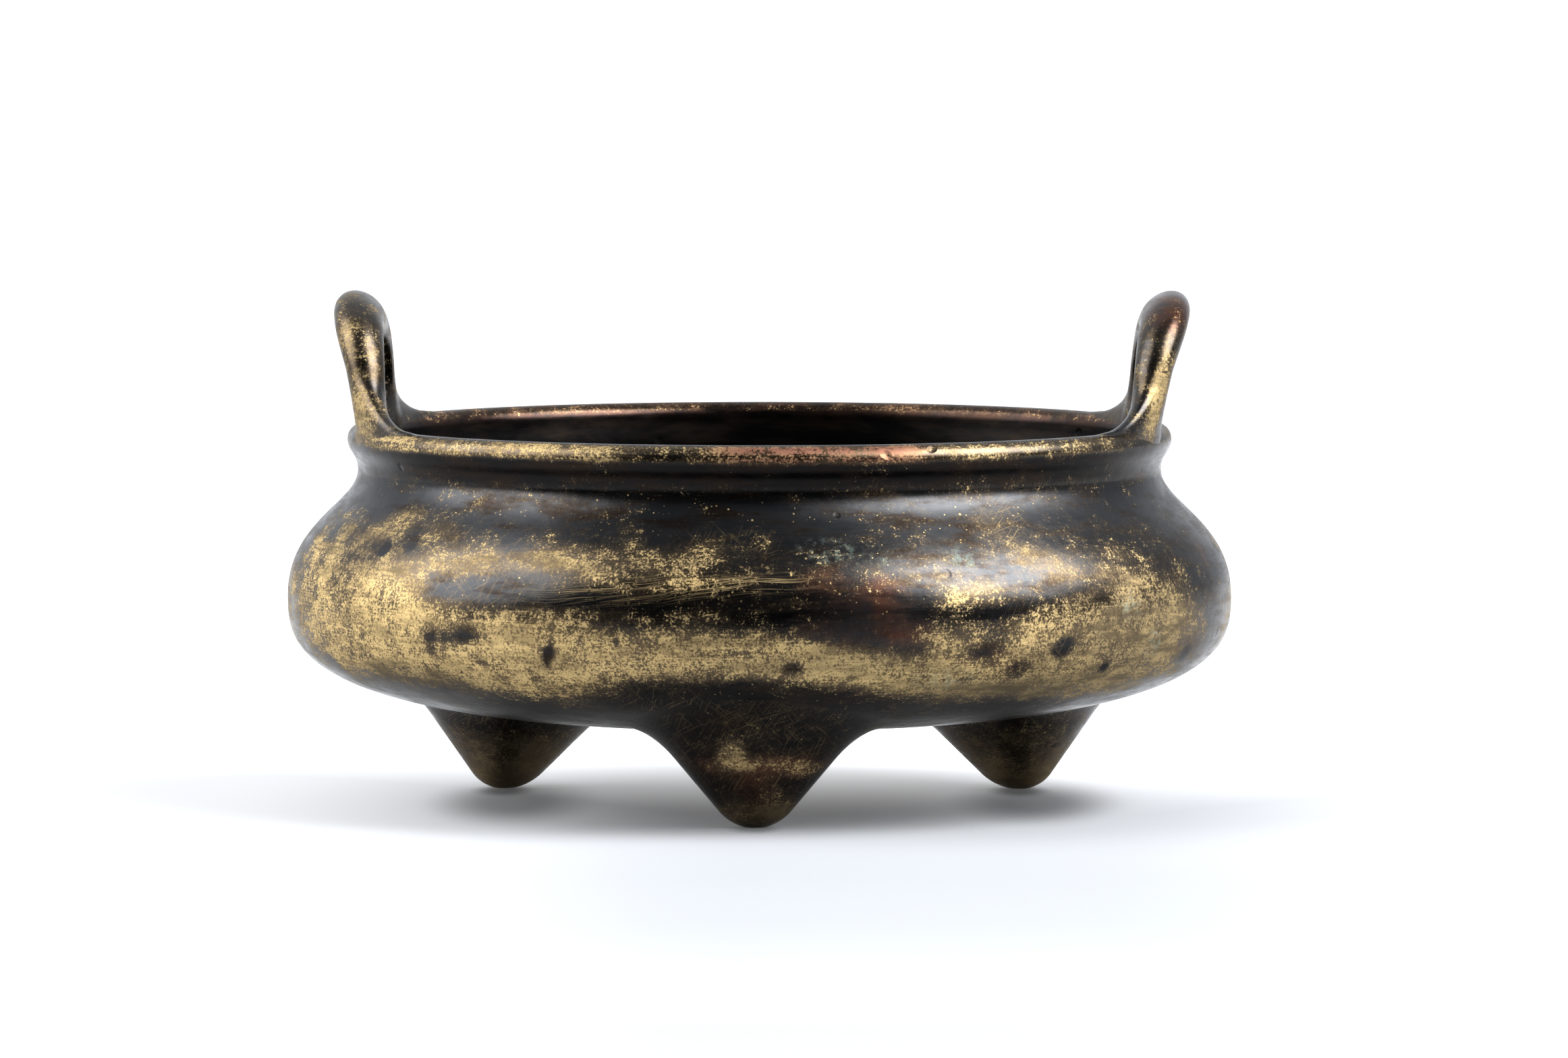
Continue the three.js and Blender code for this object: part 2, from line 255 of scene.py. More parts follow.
def handlePoint(share, turn, side, lean, tucked=0, sink=0):
    h = handleValues
    v = bowlValues
    step = 0.001
    along, up = handleMiddle(share)
    before = handleMiddle(max(0, share - step))
    after = handleMiddle(min(1, share + step))
    tangent = Vector((after[0] - before[0], after[1] - before[1])).normalized()
    if share <= step or share >= 1 - step:
        tangent = Vector((0, 1 if share < 0.5 else -1))
    outward = Vector((tangent.y, -tangent.x))
    crown = smoothStep(up / handleRise(), h["crownFrom"], 1)
    base = smoothStep(-up / h["flareHeight"], -1, 0)
    lowered = up - sink
    down = 1 - min(1, max(0, lowered / h["flareHeight"]))
    flare = 1 - math.sqrt(1 - down * down)
    legWidth = h["legWidth"] + (h["footWidth"] - h["legWidth"]) * base
    width = legWidth + (h["topWidth"] - legWidth) * crown
    halfWidth = width / 2 - tucked * h["tuck"] - sink * h["sinkTaper"]
    halfDepth = (h["legDepth"] + (h["topDepth"] - h["legDepth"]) * crown) / 2
    towards = math.sin(turn)
    spread = (h["outerFlare"] if towards > 0 else h["innerFlare"]) * flare
    reach = towards * (halfDepth + spread + tucked * h["tuckReach"])
    y = along + outward.x * reach
    height = lowered + outward.y * reach
    lipMiddle = v["lipRadius"] - v["lipWidth"] / 2
    aroundLip = math.sqrt(max(0, lipMiddle ** 2 - y * y)) - legMiddle()
    across = math.cos(turn) * halfWidth
    x = handlePlane(max(0, height), lean) + across + aroundLip * down
    dip = tucked * (h["tuck"] + h["tuckDip"] * abs(math.cos(turn)) ** h["tuckSharpness"])
    return (x * side, y * side, v["lipTop"] + height - lipFall(across) * down - dip)


def makeHandle(name, side, lean):
    h = handleValues
    last = h["rings"] - 1

    def pointAt(ring, turn):
        fromEnd = min(ring, last - ring)
        if fromEnd < h["tuckRings"]:
            end = 0 if ring < h["tuckRings"] else 1
            return handlePoint(end, turn, side, lean, 1, h["sink"] if fromEnd == 0 else 0)
        even = (ring - h["tuckRings"]) / (last - 2 * h["tuckRings"])
        crowded = even - math.sin(even * 2 * math.pi) / (2 * h["crowding"] * math.pi)
        return handlePoint(crowded, turn, side, lean)

    return wrappedGrid(name, h["rings"], h["sides"], pointAt)


# Feet: sizes in millimetres. The rim runs on a little way inside the bowl's wall, so that no gap shows
footValues = {
    "circleRadius": 47.8,
    "tipRadius": 7.4,
    "wornRadius": 1.6,
    "halfAngle": math.radians(40.5),
    "lean": 0.19,
    "blend": 5.0,
    "tuck": 0.05,
    "tuckLength": 0.8,
    "backing": 0.7,
    "backRings": 8,
    "sectors": 96,
    "rings": 56,
    "halvings": 40,
    "flush": 0.0005,
}


def footCone(distance):
    f = footValues
    tangentDistance = f["tipRadius"] * math.cos(f["halfAngle"])
    wear = f["tipRadius"] - math.sqrt(f["tipRadius"] ** 2 - f["wornRadius"] ** 2)
    if distance < f["wornRadius"]:
        return 0
    if distance < tangentDistance:
        return f["tipRadius"] - math.sqrt(f["tipRadius"] ** 2 - distance ** 2) - wear
    tangentHeight = f["tipRadius"] * (1 - math.sin(f["halfAngle"]))
    return tangentHeight + (distance - tangentDistance) / math.tan(f["halfAngle"]) - wear


def footSkin(distance, bearing):
    # The lower of cone and bowl, with a smooth minimum where they meet
    f = footValues
    cone = footCone(distance)
    lean = f["lean"] * min(cone, bowlValues["bellyHeight"])
    x = f["circleRadius"] + distance * math.cos(bearing) - lean
    y = distance * math.sin(bearing)
    under = undersideAt(math.hypot(x, y))
    overlap = max(f["blend"] - abs(under - cone), 0) / f["blend"]
    return x, y, under, min(under, cone) - overlap * overlap * f["blend"] / 4


def flareReach(bearing):
    near = footValues["tipRadius"]
    far = bowlValues["bellyRadius"] - footValues["circleRadius"]
    for _ in range(footValues["halvings"]):
        middle = (near + far) / 2
        _, _, under, height = footSkin(middle, bearing)
        if under - height > footValues["flush"]:
            near = middle
        else:
            far = middle
    return near


def makeFoot(name, turnDegrees):
    f = footValues
    turn = math.radians(turnDegrees)
    reaches = {}

    def pointAt(ring, bearing):
        key = round(bearing, 6)
        if key not in reaches:
            reaches[key] = flareReach(bearing)
        reach = reaches[key]
        if ring == 0:
            x, y, z = f["circleRadius"], 0, 0
        elif ring <= f["rings"]:
            share = ring / f["rings"]
            x, y, _, z = footSkin(reach * share, bearing)
        elif ring == f["rings"] + 1:
            x, y, under, _ = footSkin(reach + f["tuckLength"], bearing)
            z = under + f["tuck"]
        else:
            share = 1 - (ring - f["rings"] - 2) / (f["backRings"] - 2)
            x, y, under, _ = footSkin(reach * share, bearing)
            z = under + f["backing"]
        return (x * math.cos(turn) - y * math.sin(turn), x * math.sin(turn) + y * math.cos(turn), z)

    return wrappedGrid(name, f["rings"] + f["backRings"] + 1, f["sectors"], pointAt)


bowl = makeBowl()
handleRight = makeHandle("castHandleRight", 1, handleValues["rightLean"])
handleLeft = makeHandle("castHandleLeft", -1, handleValues["leftLean"])
footFront = makeFoot("castFootFront", -90)
footRearRight = makeFoot("castFootRearRight", 30)
footRearLeft = makeFoot("castFootRearLeft", 150)
print("Castings made")


# Wear, painted on the castings as masks that the material reads at each point
# Spots on the outer wall: turn from the front in degrees, height, half width, half height in
# millimetres, tilt in degrees with the right end up, strength
rubbedSpots = {
    "bandFarLeft": (-54, 28.0, 28, 9.0, 0, 0.72),
    "bandLeft": (-33, 27.0, 32, 8.0, 0, 0.9),
    "bandLeftLow": (-27, 23.2, 17, 4.6, -5, 0.45),
    "bandFront": (-9, 28.4, 34, 5.4, 0, 0.85),
    "bandFrontRight": (9, 27.0, 24, 5.0, -5, 0.6),
    "bandRightStart": (19, 25.0, 20, 5.0, -5, 0.5),
    "bandRight": (31, 23.6, 24, 5.0, 3, 0.56),
    "bandRightHigh": (33, 28.2, 14, 3.4, 0, 0.36),
    "bandFarRight": (50, 25.0, 26, 7.4, 0, 0.72),
    "sideLeft": (-64, 34.0, 30, 15.0, 0, 0.68),
    "shoulderLeft": (-56, 46.4, 11, 3.6, 8, 0.5),
    "shoulderLeftHigh": (-50, 46.2, 17, 3.4, 0, 0.34),
    "shoulderFarLeft": (-70, 43.0, 13, 8.0, 0, 0.45),
    "glintLeft": (-37, 42.0, 22, 3.8, 0, 0.34),
    "glintLow": (-50, 38.5, 14, 4.6, 0, 0.5),
    "upperMiddle": (-19, 43.0, 22, 3.2, 0, 0.42),
    "upperFront": (-8, 43.2, 13, 2.8, 4, 0.34),
    "scribbleLeft": (-16, 46.6, 5, 2.8, -35, 0.34),
    "scribbleFront": (-4, 45.2, 8, 3.0, 0, 0.24),
    "commas": (1.8, 46.0, 3.4, 2.2, 20, 0.46),
    "rowLeft": (-29, 33.6, 26, 4.0, 0, 0.55),
    "rowFarLeft": (-46, 34.0, 16, 5.0, 0, 0.5),
    "rowMiddle": (-14, 39.6, 24, 2.6, 3, 0.44),
    "rowFront": (-6, 37.4, 20, 4.4, 0, 0.26),
    "rowLow": (-13, 33.4, 24, 2.8, 0, 0.3),
    "patchHigh": (26, 36.8, 9, 3.0, 14, 0.5),
    "patchBright": (38, 32.4, 14, 5.0, 8, 0.8),
    "patchMiddle": (24, 31.2, 9, 3.8, 0, 0.62),
    "patchLow": (23.6, 25.4, 12, 4.2, 0, 0.62),
    "glintRight": (39, 41.6, 9, 4.0, -18, 0.36),
    "speckledRight": (51, 40.0, 11, 5.6, 0, 0.32),
    "sideRight": (55, 32.6, 22, 9.0, 0, 0.74),
    "sideFarRight": (66, 27.0, 14, 8.0, 0, 0.36),
    "freckledRight": (34, 47.8, 7, 3.2, 0, 0.26),
    "lowRight": (47, 22.0, 30, 3.6, 0, 0.42),
    "backBand": (180, 27.0, 130, 8.0, 0, 0.72),
    "backLeft": (-128, 33.0, 40, 11.0, 0, 0.6),
    "backRight": (118, 30.0, 40, 9.0, 0, 0.6),
    "backShoulder": (152, 43.0, 42, 5.0, 0, 0.42),
    "backShoulderLeft": (-140, 43.6, 36, 5.0, 0, 0.46),
    "behindLeft": (-96, 33.0, 30, 13.0, 0, 0.6),
    "behindRight": (92, 30.0, 24, 9.0, 0, 0.5),
}

# Where the patina has stayed dark inside them
darkSpots = {
    "middle": (13, 34.4, 16, 6.6, 0, 0.2),
    "underGlint": (-31, 37.9, 25, 3.2, 4, 0.3),
    "underHollow": (-29, 35.9, 20, 1.5, 5, 0.28),
    "underSweep": (-11, 36.4, 24, 2.6, 2, 0.2),
    "rowGap": (-17, 33.4, 10, 1.6, -4, 0.4),
    "clusterTall": (-42.3, 29.4, 2.2, 3.8, 12, 0.75),
    "clusterBar": (-38.6, 30.4, 6.6, 2.0, -3, 0.75),
    "clusterEnd": (-35.6, 31.0, 3.0, 2.6, 0, 0.5),
    "clusterSmall": (-35.2, 27.0, 2.6, 1.2, -30, 0.6),
    "drop": (-25.0, 28.2, 1.4, 3.0, -16, 1.2),
    "roundSpot": (-16.3, 30.4, 1.4, 1.2, 0, 0.6),
    "blotLeft": (-53.5, 42.9, 1.5, 1.6, 0, 1.0),
    "shoulder": (0, 49.6, 300, 4.6, 0, 0.2),
    "shoulderFront": (8, 46.0, 40, 5.0, 0, 0.12),
    "blotFarLeft": (-71, 44.4, 3.2, 2.4, 0, 0.6),
    "shoulderGap": (-49.5, 45.0, 4.4, 2.6, -30, 0.4),
    "gapLeft": (-62, 38.0, 5, 2.4, 30, 0.3),
    "oval": (4.8, 26.6, 2.6, 1.4, 0, 1.0),
    "frontLow": (0, 20.6, 34, 5.0, 0, 0.3),
    "blotchRight": (39.7, 28.8, 3.0, 2.2, 25, 1.0),
    "stainRight": (33.8, 25.8, 3.8, 2.0, 0, 0.55),
    "markRight": (47.9, 24.9, 1.8, 1.5, 30, 0.9),
    "markFarRight": (66, 25.8, 2.2, 2.0, 0, 0.8),
    "seamRight": (32, 34.8, 7, 1.3, 4, 0.5),
    "gapRight": (29, 29.0, 5, 1.8, 10, 0.35),
    "backGap": (170, 30.0, 16, 4.0, 10, 0.5),
    "backGapLeft": (-150, 26.0, 12, 3.0, 0, 0.5),
}

# Red-brown copper oxide
redSpots = {
    "front": (8.4, 40.0, 6.0, 3.0, 0, 0.62),
    "right": (15.7, 37.4, 5.4, 4.6, 0, 0.55),
    "low": (18.5, 31.8, 6.0, 3.4, 0, 0.48),
    "wide": (12, 34.6, 13, 7.0, 0, 0.3),
    "edge": (74, 41.0, 5.0, 4.6, 0, 0.6),
    "bandLow": (30, 27.0, 8.0, 3.0, 0, 0.25),
    "back": (-160, 36.0, 9.0, 4.0, 0, 0.6),
}

greenSpots = {
    "front": (9.3, 44.4, 7.0, 2.6, 0, 0.6),
    "frontRight": (15, 43.6, 6.0, 2.0, 0, 0.45),
    "right": (27.1, 43.1, 3.6, 2.0, 0, 0.9),
    "rightSide": (51, 34.7, 3.6, 2.8, 0, 0.9),
    "rightLow": (56.4, 28.0, 3.0, 3.2, 0, 0.9),
    "band": (24, 24.4, 8.0, 2.2, 0, 0.5),
    "back": (140, 30.0, 5.0, 3.0, 0, 0.8),
}

# Brass gone brown under old wax
dulledSpots = {
    "right": (54, 31.0, 34, 16.0, 0, 0.54),
    "lowLeft": (-48, 22.6, 24, 4.4, 0, 0.5),
    "lowRight": (34, 21.6, 26, 4.0, 0, 0.55),
    "shoulderLeft": (-58, 43.0, 20, 8.0, 0, 0.45),
    "glintLeft": (-36, 41.0, 30, 6.0, 0, 0.35),
    "upper": (-12, 43.0, 22, 4.0, 0, 0.3),
    "glintRight": (36, 42.0, 20, 6.0, 0, 0.3),
    "middle": (-24, 36.0, 30, 4.0, 0, 0.3),
    "front": (15, 30.0, 16, 6.0, 0, 0.4),
}

# Where the patina is dull as well as dark
satinSpots = {
    "right": (30, 48.6, 54, 5.4, 0, 1.0),
    "left": (-50, 48.6, 30, 5.0, 0, 0.6),
    "glintRight": (34, 42.0, 26, 5.6, 0, 0.45),
    "front": (14, 33.0, 16, 6.0, 0, 0.6),
}

sweptSpots = {"front": (-13, 38.4, 29, 3.6, 4, 1.0), "frontEnd": (2, 39.6, 14, 2.2, 2, 0.8)}
crossedSpots = {
    "hollow": (-36, 38.2, 24, 4.0, 3, 0.4),
    "row": (-28, 34.0, 26, 4.0, 0, 0.5),
    "right": (38, 32.0, 18, 7.0, 0, 0.7),
    "front": (-3, 45.4, 14, 4.4, 0, 0.6),
    "flare": (-12, 19.8, 14, 5.0, 0, 0.8),
    "highRight": (35, 48.0, 7, 4.6, 0, 0.7),
}
freckledSpots = {
    "glintRight": (28, 41.6, 30, 6.0, 0, 0.6),
    "neckFront": (-13, 50.4, 40, 5.0, 0, 0.8),
    "neckRight": (28, 48.4, 36, 6.4, 0, 0.9),
    "neckLeft": (-36, 50.2, 26, 3.4, 0, 0.6),
    "front": (6, 40.0, 70, 12.0, 0, 0.6),
    "hollow": (-36, 38.4, 28, 5.4, 0, 0.9),
    "low": (8, 21.6, 60, 5.0, 0, 0.9),
    "back": (180, 48.0, 120, 7.0, 0, 0.6),
}

# Along the lip: turn, half length in millimetres, strength
lipRubbed = {
    "all": (0, 500, 0.17),
    "left": (-42, 36, 0.32),
    "front": (-14, 32, 0.27),
    "copper": (9.5, 24, 0.46),
    "right": (43, 26, 0.24),
    "farLeft": (-66, 14, 0.45),
    "back": (170, 120, 0.2),
}
lipCopper = {"front": (9.5, 23, 1.0)}

# Spots on the handles and feet: middle and half lengths in millimetres, lean in degrees, strength
handleSpots = {
    "leftFront": (-64.0, -21.0, 71, 3.2, 5.0, 13, -8, 0.3),
    "leftFoot": (-62.0, -20.0, 60.5, 7.0, 8.0, 7, 0, 0.46),
    "leftTop": (-66.5, -17.0, 77, 4.6, 6.0, 6, 0, 0.4),
    "rightStreak": (63.8, -21.4, 69, 2.2, 5.0, 14, 12, 0.72),
    "rightStreakLow": (61.8, -22.0, 62, 1.8, 5.0, 8, 12, 0.28),
    "rightEdge": (66.2, -20.0, 72, 1.6, 5.0, 12, 12, 0.35),
}
footSpots = {
    "patch": (-3.2, -54.0, 13.2, 4.2, 10.0, 4.8, 0, 0.86),
    "patchLow": (-2.0, -53.0, 10.6, 9.0, 10.0, 2.4, -3, 0.52),
    "patchRight": (6.5, -52.0, 10.0, 7.0, 10.0, 2.4, 5, 0.54),
    "fleck": (5.4, -54.0, 15.4, 1.4, 8.0, 1.6, 0, 0.5),
}
footRed = {
    "band": (1.0, -52.0, 10.2, 15.0, 12.0, 3.2, 0, 0.8),
    "middle": (0.0, -52.0, 6.6, 5.0, 10.0, 3.4, 0, 0.4),
}
handleRed = {"top": (66.0, -4.0, 80.5, 8.0, 26.0, 8.0, 0, 1.0)}

# How far into a spot, as a share of its half size, its edge fades
spotEdges = {"wall": 0.75, "lip": 0.5, "solid": 0.6}

# Millimetres over which the masks fade in: height, or what the name says
fadeValues = {
    "wallFoot": (15, 20),
    "wallTop": (53.5, 55.5),
    "freckledTop": (54, 56.5),
    "neckFoot": (52.5, 54.5),
    "lipFoot": (57, 58),
    "lipFace": (57.1, 58.1),
    "lipRadius": (63.6, 64.4),
    "lipMiddle": (0.1, 0.5),
    "rim": (57.4, 59.4),
    "underside": (16, 24),
    # Where the patina is lighter: from the middle of the belly up, leaving out the neck below the lip
    "lighterPatinaFoot": (24, 36),
    "lighterPatinaTop": (52, 54),
    "lighterPatinaLip": (57, 59),
    "overLip": (-0.4, 0.4),
    "throughWall": (1.0, 2.4),
    "footTip": (2.0, 7.5),
    "footRearTip": (6.5, 13),
    "footScratched": (5, 8),
    "footBack": (0, 10),
}

# Strengths of the wear, red, dulling and copper that go with a part of a casting
bowlWear = {
    "wall": 0.9,
    "wallMost": 0.82,
    "neck": -0.3,
    "rim": 0.12,
    "underside": -0.16,
    "inside": -1.2,
    "lipDip": 0.4,
    "lipRed": 0.9,
    "lipDulled": 0.25,
    "rimRed": 0.35,
    "rimCopper": 0.6,
}
# The handles have the lighter patina all over
handleWear = {"all": 0.1, "left": 0.08, "dulled": 0.42, "lighterPatina": 1}
footWear = {"all": -0.16, "tip": 0.55, "rearTip": 0.36, "tipDulled": 0.9, "scratched": 0.5}

# Heights in millimetres: the middle of the lip's face, and where the inside begins above the underside
maskLevels = {"lipMiddle": 58.6, "inside": 2.6}


def turnGap(turn, middle):
    return (turn - middle + 180) % 360 - 180


def fade(name, value):
    return smoothStep(value, *fadeValues[name])


def wallSpots(spots, turn, height):
    total = 0
    for middle, level, halfWide, halfHigh, tilt, strength in spots.values():
        up = height - level
        sine, cosine = math.sin(math.radians(tilt)), math.cos(math.radians(tilt))
        if abs(up) > halfHigh + halfWide * abs(sine):
            continue
        along = math.radians(turnGap(turn, middle)) * bowlValues["bellyRadius"]
        reach = math.hypot((along * cosine + up * sine) / halfWide, (up * cosine - along * sine) / halfHigh)
        total += strength * smoothStep(1 - reach, 0, spotEdges["wall"])
    return total


def lipSpots(spots, turn):
    total = 0
    for middle, half, strength in spots.values():
        along = abs(math.radians(turnGap(turn, middle)) * bowlValues["lipRadius"])
        total += strength * smoothStep(1 - along / half, 0, spotEdges["lip"])
    return total


def solidSpots(spots, place):
    total = 0
    for x, y, z, halfX, halfY, halfZ, lean, strength in spots.values():
        dx, dy, dz = place[0] - x, place[1] - y, place[2] - z
        sine, cosine = math.sin(math.radians(lean)), math.cos(math.radians(lean))
        reach = math.hypot((dx * cosine - dz * sine) / halfX, dy / halfY, (dx * sine + dz * cosine) / halfZ)
        total += strength * smoothStep(1 - reach, 0, spotEdges["solid"])
    return total


outerProfile = bowlProfile()[:stepValues["underside"] + stepValues["shoulder"] + stepValues["neck"]]


def insideShare(radius, height):
    # 1 on the inner wall and floor, 0 on the outside
    v = bowlValues
    if height < v["undersideHeight"] + maskLevels["inside"]:
        return 0
    if height > v["lipBulgeHeight"]:
        return fade("overLip", v["lipRadius"] - v["lipWidth"] / 2 - radius)
    outerRadius = min(outerProfile, key=lambda point: abs(point[1] - height))[0]
    return fade("throughWall", outerRadius - radius)


def bowlMasks(place):
    x, y, z = place
    w = bowlWear
    radius = math.hypot(x, y)
    turn = math.degrees(math.atan2(x, -y))
    inside = insideShare(radius, z)
    outside = 1 - inside
    deep = inside * (1 - fade("rim", z))
    rim = inside * fade("rim", z)
    wall = outside * fade("wallFoot", z) * (1 - fade("wallTop", z))
    neck = outside * fade("neckFoot", z) * (1 - fade("lipFoot", z))
    lip = outside * fade("lipFace", z) * fade("lipRadius", radius)
    lip *= 1 - w["lipDip"] * (1 - fade("lipMiddle", abs(z - maskLevels["lipMiddle"])))
    copper = lip * lipSpots(lipCopper, turn)
    rubbed = min(w["wallMost"], w["wall"] * wallSpots(rubbedSpots, turn, z)) - wallSpots(darkSpots, turn, z)
    # The patina is lighter from the middle of the belly up to the neck and on the lip; it is darker under
    # the belly, in the neck and inside, which dims what these reflect
    neckOnly = fade("lighterPatinaTop", z) * (1 - fade("lighterPatinaLip", z))
    return {
        "wear": (wall * rubbed + lip * lipSpots(lipRubbed, turn) + rim * w["rim"] + neck * w["neck"]
                 + (1 - fade("underside", z)) * w["underside"] + deep * w["inside"]),
        "red": wall * wallSpots(redSpots, turn, z) + copper * w["lipRed"] + rim * w["rimRed"],
        "green": wall * wallSpots(greenSpots, turn, z),
        "dulled": wall * wallSpots(dulledSpots, turn, z) + lip * w["lipDulled"],
        "swept": wall * wallSpots(sweptSpots, turn, z),
        "crossed": outside * wallSpots(crossedSpots, turn, z),
        "freckled": outside * (1 - fade("freckledTop", z)) * wallSpots(freckledSpots, turn, z),
        "copper": max(copper, rim * w["rimCopper"]),
        "inner": deep,
        "lighterPatina": outside * fade("lighterPatinaFoot", z) * (1 - neckOnly),
        "satin": wall * wallSpots(satinSpots, turn, z),
    }


def handleMasks(place):
    w = handleWear
    wear = w["all"] + (w["left"] if place[0] < 0 else 0) + solidSpots(handleSpots, place)
    red = solidSpots(handleRed, place)
    return {"wear": wear, "red": red, "dulled": w["dulled"], "lighterPatina": w["lighterPatina"]}


def footMasks(place):
    _, y, z = place
    w = footWear
    tip = 1 - fade("footTip", z)
    rearTip = fade("footBack", y) * (1 - fade("footRearTip", z))
    return {
        "wear": solidSpots(footSpots, place) + w["tip"] * tip + w["rearTip"] * rearTip + w["all"],
        "red": solidSpots(footRed, place),
        "dulled": w["tipDulled"] * max(tip, rearTip),
        "crossed": w["scratched"] * fade("footScratched", z),
    }


maskNames = (
    "wear", "red", "green", "dulled", "swept", "crossed", "freckled", "copper", "inner", "lighterPatina", "satin")


def paintMasks(piece, masksAt):
    masks = [masksAt(vertex.co / mm) for vertex in piece.data.vertices]
    for name in maskNames:
        piece.data.attributes.new(name, "FLOAT", "POINT")
        values = [mask.get(name, 0.0) for mask in masks]
        piece.data.attributes[name].data.foreach_set("value", values)


paintMasks(bowl, bowlMasks)
for piece in (handleRight, handleLeft):
    paintMasks(piece, handleMasks)
for piece in (footFront, footRearRight, footRearLeft):
    paintMasks(piece, footMasks)
print("Wear painted")


def addNode(tree, kind, settings=None, sockets=None):
    # Adds a node, sets or links its sockets, and hands back its first output in use
    node = tree.nodes.new("ShaderNode" + kind)
    for key, value in (settings or {}).items():
        setattr(node, key, value)
    for key, value in (sockets or {}).items():
        if isinstance(value, bpy.types.NodeSocket):
            tree.links.new(value, node.inputs[key])
        else:
            node.inputs[key].default_value = value
    return [output for output in node.outputs if output.enabled][0]


# Cast bronze, patinated nearly black, waxed, and rubbed back to brass and copper on the high places.
# Casting and hand finishing give the eye a soft, slightly uneven gloss. Handling gives ragged gold
bronzeValues = {
    "patina": "1c1b1b",
    # Lighter patina on the belly, the lip and the handles; the darker one above is on the rest, under the
    # belly, in the neck, inside and on the feet
    "patinaLighter": "343537",
    "patinaBrown": "27201b",
    "patinaRed": "583a2e",
    "halfRubbed": "5d503e",
    "brass": "d3ba85",
    "brassDeep": "776040",
    "dulled": "665a45",
    "copper": "835d4c",
    "verdigris": "47675f",
    "edgeTint": "dcdcdc",
    "grit": 6.8,
    "filmGrit": 0.4,
    "cloudShare": 0.5,
    "driftShare": 0.1,
    "linesShare": 0.5,
    "streakRoughness": 0.6,
    "polishGrain": 2.4,
    "polishLines": 1.2,
    "verdigrisFull": 0.4,
    "bendSize": 16.0,
    "bend": 2.5,
    "strokeEdge": 0.05,
    "speckEdge": (0.06, -0.02),
}

# Grains, from hand-wide clouds down to single specks: size in millimetres, detail, roughness, share
grainValues = {
    "clouds": (24.0, 4.0, 0.55, 0.0),
    "mottle": (5.0, 5.0, 0.66, 0.3),
    "specks": (1.4, 4.0, 0.75, 0.28),
    "grain": (0.36, 2.0, 0.8, 0.34),
    "dents": (9.0, 2.0, 0.5, 0.0),
}

# Wiping and turning leave drifts and fine lines round the castings: size in x, y and z, detail
streakValues = {"drift": (9, 9, 2, 4), "lines": (7, 7, 0.2, 2)}

# Strokes through to the brass, drawn coarser than hair-fine scratches so that they show: length,
# width, tilt in degrees, where the noise is cut, the mask they keep to, strength
strokeValues = {
    "sweep": (15.0, 0.12, 5, 0.59, "swept", 0.66),
    "sweepSteep": (11.0, 0.11, 9, 0.62, "swept", 0.5),
    "crossUp": (6.0, 0.13, 62, 0.64, "crossed", 0.6),
    "crossDown": (7.0, 0.13, -48, 0.66, "crossed", 0.55),
    "crossFlat": (7.0, 0.14, 24, 0.65, "crossed", 0.5),
}

# Specks, the finest drawn coarser than life: spacing, largest size, share of the places that have
# one, strength, mask. Those without a mask are stains and pits in the brass
speckValues = {
    "freckles": (1.7, 0.2, 0.3, 1.0, "freckled"),
    "dust": (0.8, 0.14, 0.3, 0.8, "freckled"),
    "stains": (3.1, 0.8, 0.24, -0.75, None),
    "pepper": (0.8, 0.28, 0.44, -0.75, None),
    "pits": (4.3, 0.9, 0.12, 0.0, None),
}

# Ramps, smooth at both ends: the values they run from and to, and what they give there
rampValues = {
    "rubbed": (0.3, 0.86, 0.0, 1.0),
    "film": (-0.24, 0.6, 0.0, 0.9),
    "polish": (1.9, 3.1, 0.0, 1.0),
    "redness": (0.36, 0.6, 0.15, 1.0),
    "browned": (0.42, 0.7, 0.0, 1.0),
    "oldWax": (0.46, 0.66, 0.0, 0.45),
    "greened": (0.46, 0.62, 0.0, 0.5),
    "roughness": (0.36, 0.64, 0.13, 0.23),
}

# What roughens the waxed patina, and the height of the finished casting in millimetres
roughnessValues = {"rubbed": 0.32, "film": 0.08, "lines": 0.12, "inner": 0.1, "satin": 0.16}
reliefValues = {
    "clouds": 0.26,
    "dents": 0.07,
    "mottle": 0.022,
    "specks": 0.014,
    "grain": 0.004,
    "pits": -0.05,
    "rubbed": -0.012,
    "rubbedGrain": 0.02,
    "nicks": -0.45,
}

# The two nicks in the front of the lip: x and z, half width, half height, tilt in degrees
nickValues = {"left": (20.3, 58.7, 1.2, 0.8, 30), "right": (27.6, 59.6, 1.1, 0.9, -20)}
nickPlane = {"y": -60.4, "halfDepth": 3}


